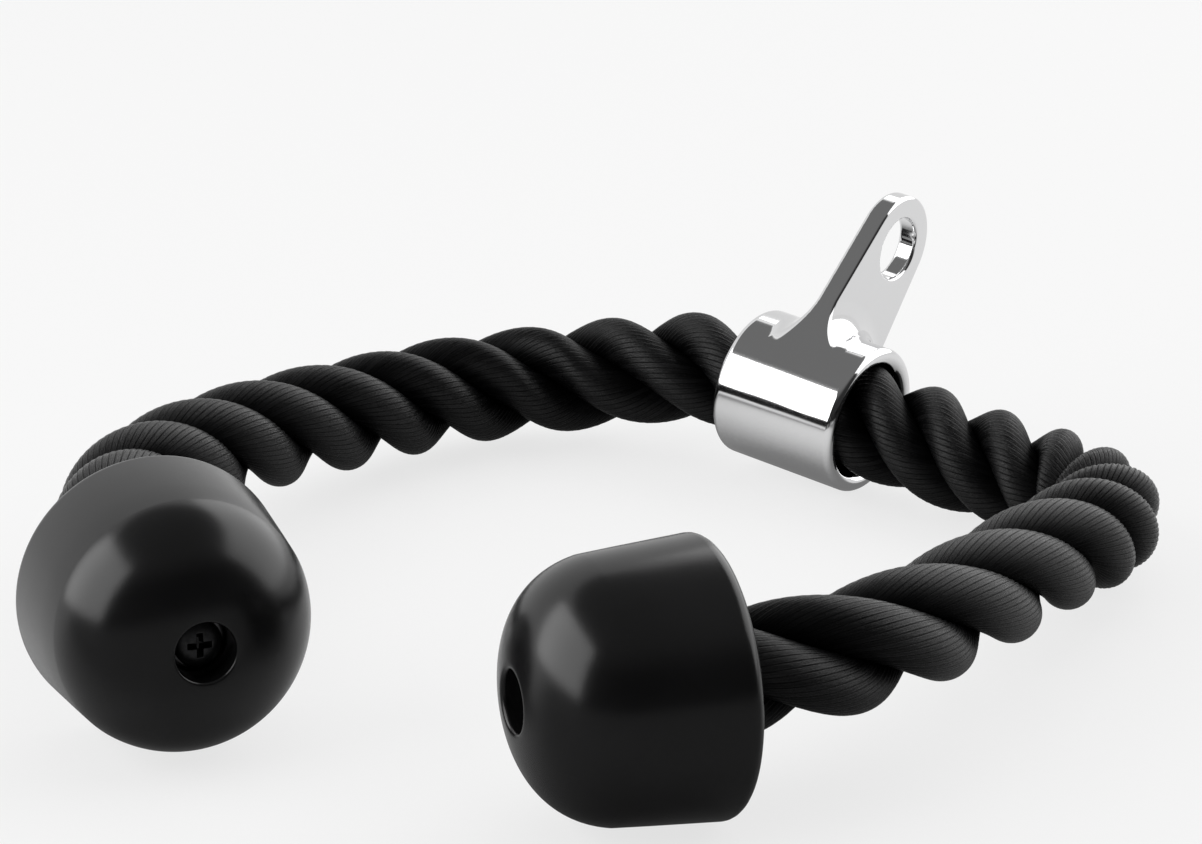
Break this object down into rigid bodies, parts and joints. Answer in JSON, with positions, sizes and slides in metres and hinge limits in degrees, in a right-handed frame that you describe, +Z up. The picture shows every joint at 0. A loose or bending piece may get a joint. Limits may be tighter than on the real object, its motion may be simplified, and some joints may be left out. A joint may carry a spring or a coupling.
{
  "type": "triceps rope attachment",
  "caption": "Thick laid rope through a chromed sleeve with an eye tab for a cable machine's clip, and a rubber bell cap screwed on each rope end as a hand stop.",
  "frame": {"origin": "on the surface it lies on, under the middle of the box of the metal and rubber pieces", "axes": "+X along the sleeve's bore seen from above, towards the shorter bend; +Y from the caps towards the sleeve, the way the eye leans; +Z up"},
  "size_m": [0.2401, 0.3039, 0.0687],
  "materials": {
    "chromed_casting": "bright polished chrome",
    "black_rope": "three-strand laid synthetic rope, dull sheen on its yarns",
    "black_rubber": "moulded, satin to semi-gloss",
    "zinc_steel": "zinc plated",
    "black_screw_steel": "blackened"
  },
  "bodies": {
    "rope": {"rope_middle": "black_rope", "rope_left_flex": "black_rope", "rope_right_flex": "black_rope"},
    "eye": {"eye_sleeve": "chromed_casting"},
    "left_tail": {"rope_left": "black_rope", "left_cap": "black_rubber", "left_cap_washer": "zinc_steel", "left_cap_screw": "black_screw_steel", "left_rope_ferrule": "zinc_steel"},
    "right_tail": {"rope_right": "black_rope", "right_cap": "black_rubber", "right_cap_washer": "zinc_steel", "right_cap_screw": "black_screw_steel", "right_rope_ferrule": "zinc_steel"}
  },
  "joints": [
    {"name": "eye_swivel", "type": "hinge", "parent": "rope", "child": "eye", "pos_m": [-0.042, 0.1099, 0.02053], "axis": [0.9925, 0, -0.1219], "continuous": true},
    {"name": "left_tail_swing", "type": "hinge", "parent": "rope", "child": "left_tail", "pos_m": [-0.11535, 0.09316, 0.01625], "axis": [0, 0, -1], "range_deg": [-5, 60], "deforming": ["rope_left_flex"]},
    {"name": "right_tail_swing", "type": "hinge", "parent": "rope", "child": "right_tail", "pos_m": [0.05406, 0.0918, 0.01562], "axis": [0, 0, 1], "range_deg": [-5, 60], "deforming": ["rope_right_flex"]}
  ]
}
